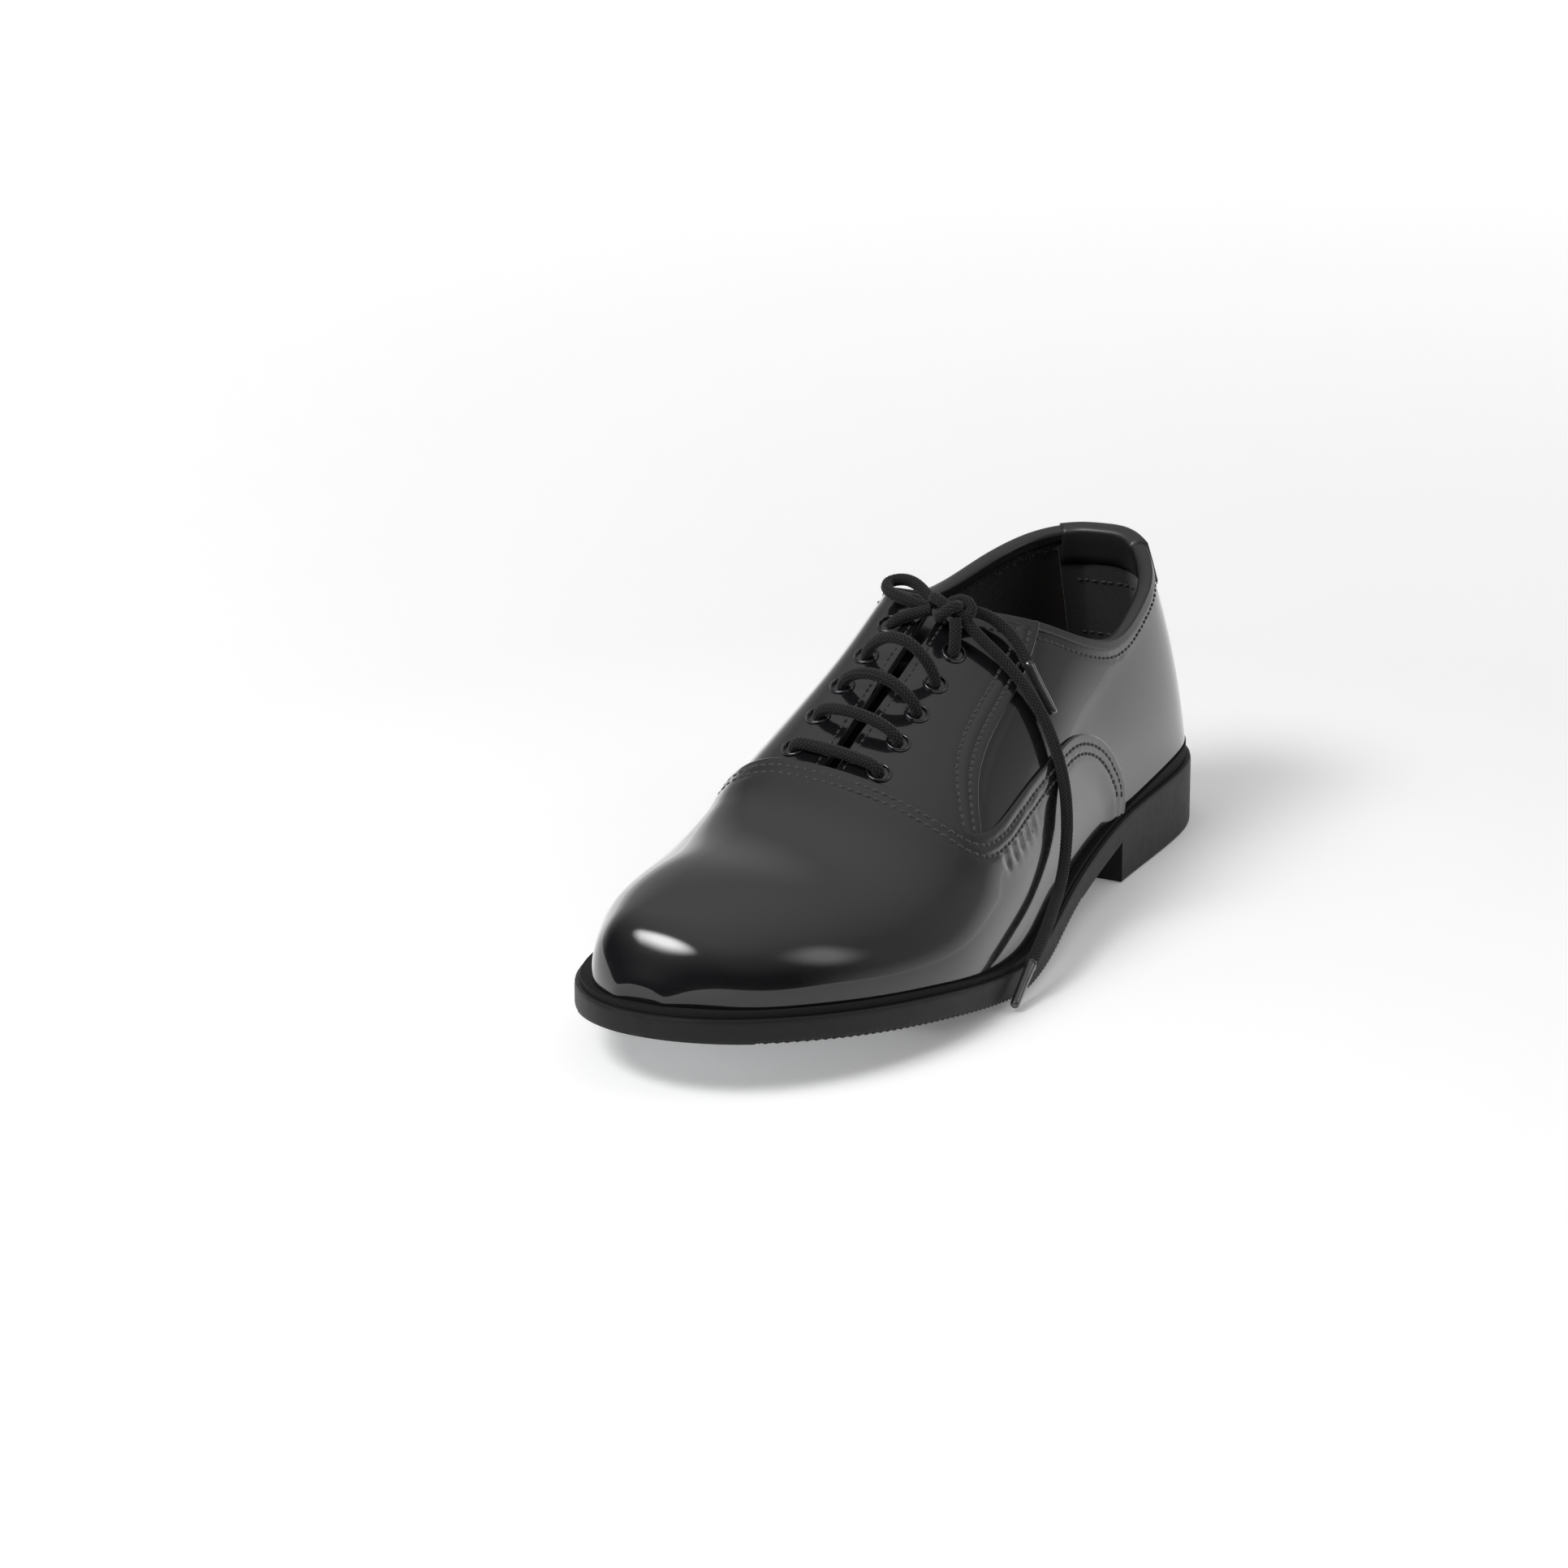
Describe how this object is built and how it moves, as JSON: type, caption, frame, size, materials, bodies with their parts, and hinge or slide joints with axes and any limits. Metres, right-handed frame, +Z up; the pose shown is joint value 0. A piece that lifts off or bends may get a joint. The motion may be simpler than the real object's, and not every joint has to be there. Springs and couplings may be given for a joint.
{
  "type": "tap shoe",
  "caption": "Left lace-up tap shoe, plain-vamp oxford in black patent leather, moulded sole, metal toe and heel taps underneath.",
  "frame": {"origin": "middle of the shoe's length and width, on the floor the heel tap rests on", "axes": "+X to the outer (lateral) side, -Y to the toe, +Y to the heel, +Z up"},
  "size_m": [0.1078, 0.3, 0.0989],
  "materials": {
    "patent_leather": "gloss",
    "trim": "satin",
    "tongue_leather": "satin",
    "lining": "matt",
    "interlining": "matt",
    "stiffener": "matt",
    "rubber_sole": "satin",
    "welt_strip": "matt",
    "tap_metal": "brushed",
    "screw_steel": "satin",
    "shank_steel": "satin",
    "cork": "matt",
    "fibre_board": "matt",
    "eyelet_metal": "gloss",
    "lace_braid": "matt",
    "aglet_plastic": "gloss"
  },
  "bodies": {
    "shoe": {"vamp": "patent_leather", "lateral_quarter": "patent_leather", "medial_quarter": "patent_leather", "lateral_eyestay": "patent_leather", "medial_eyestay": "patent_leather", "toe_puff": "stiffener", "heel_counter": "stiffener", "vamp_interlining": "interlining", "quarter_interlining": "interlining", "lateral_facing_stay": "interlining", "medial_facing_stay": "interlining", "vamp_lining": "lining", "lateral_quarter_lining": "lining", "medial_quarter_lining": "lining", "topline_binding": "trim", "heel_tab": "trim", "outsole": "rubber_sole", "welt": "welt_strip", "toe_tap": "tap_metal", "heel_tap": "tap_metal", "toe_tap_screws": "screw_steel", "heel_tap_screws": "screw_steel", "shank": "shank_steel", "cork_filler": "cork", "insole_board": "fibre_board", "sock_liner": "lining", "lateral_eyelets": "eyelet_metal", "medial_eyelets": "eyelet_metal", "lace": "lace_braid", "lace_knot": "lace_braid", "lace_loop": "lace_braid", "lace_end_long": "lace_braid", "lace_end_short": "lace_braid", "aglet_long": "aglet_plastic", "aglet_short": "aglet_plastic"},
    "tongue": {"tongue": "tongue_leather", "tongue_lining": "lining"}
  },
  "joints": [
    {"name": "tongue_hinge", "type": "hinge", "parent": "shoe", "child": "tongue", "pos_m": [0, -0.062, 0.045], "axis": [-1, 0, 0], "range_deg": [0, 15], "stiffness_Nm_per_rad": 0.5}
  ]
}
